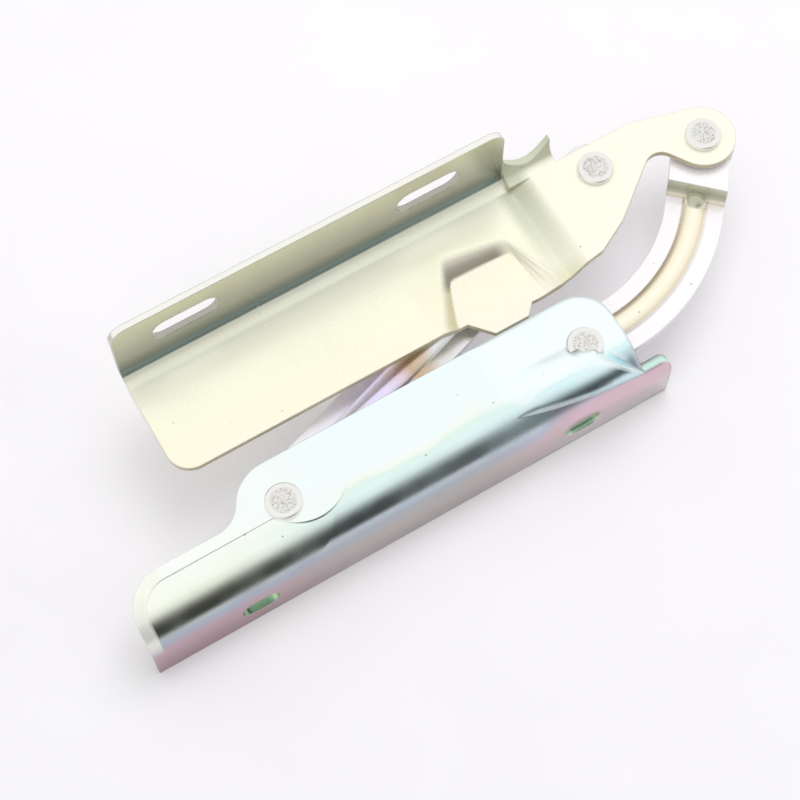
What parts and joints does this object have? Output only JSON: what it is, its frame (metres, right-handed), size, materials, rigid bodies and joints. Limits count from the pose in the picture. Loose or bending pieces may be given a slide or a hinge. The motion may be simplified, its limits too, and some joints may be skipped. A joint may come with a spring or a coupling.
{
  "type": "car bonnet hinge",
  "caption": "Four-bar car bonnet hinge: pressed zinc-plated body and bonnet brackets with slotted flanges, joined by a long link and a curved link on riveted pivots.",
  "frame": {"origin": "middle of the body bracket's two bolt slots, on the outer face of its flange", "axes": "+X along both brackets towards the arm, +Y from the body bracket's flange to the bonnet bracket's flange, +Z along the pivots towards the rivet heads"},
  "size_m": [0.2865, 0.095, 0.071],
  "materials": {
    "body_zinc": "bright zinc plating with a blue iridescent sheen",
    "bonnet_zinc": "zinc plating with a pale yellow iridescent sheen",
    "long_link_zinc": "zinc plating with a purple and brown iridescent sheen",
    "curved_link_zinc": "zinc plating with a pink and gold iridescent sheen",
    "rivet_steel": "plated steel with rough formed heads",
    "washer_steel": "plain zinc plating",
    "bush_bronze": "plain bearing bronze"
  },
  "bodies": {
    "body": {"body_bracket": "body_zinc", "rivet_a": "rivet_steel", "rivet_b": "rivet_steel", "spacer_a": "washer_steel", "spacer_b": "washer_steel", "washer_a": "washer_steel", "washer_b": "washer_steel"},
    "long_link": {"long_link": "long_link_zinc", "bush_a": "bush_bronze"},
    "curved_link": {"curved_link": "curved_link_zinc", "bush_b": "bush_bronze", "bush_d": "bush_bronze"},
    "bonnet": {"bonnet_bracket": "bonnet_zinc", "rivet_c": "rivet_steel", "rivet_d": "rivet_steel", "spacer_c": "washer_steel", "spacer_d": "washer_steel", "washer_c": "washer_steel", "washer_d": "washer_steel", "bush_c": "bush_bronze"}
  },
  "joints": [
    {"name": "curved_link_turn", "type": "hinge", "parent": "body", "child": "curved_link", "pos_m": [0.079, 0.0195, 0.021], "axis": [0, 0, 1], "range_deg": [0, 45]},
    {"name": "bonnet_turn", "type": "hinge", "parent": "curved_link", "child": "bonnet", "pos_m": [0.163, 0.0685, 0.0265], "axis": [0, 0, 1], "range_deg": [-82.5, 0]},
    {"name": "long_link_turn", "type": "hinge", "parent": "body", "child": "long_link", "pos_m": [-0.045, 0.0225, 0.021], "axis": [0, 0, 1], "range_deg": [0, 28.6]}
  ],
  "couplings": [
    {"joint": "bonnet_turn", "follows": "curved_link_turn", "ratio": -1.8275},
    {"joint": "long_link_turn", "follows": "curved_link_turn", "ratio": 0.634}
  ]
}
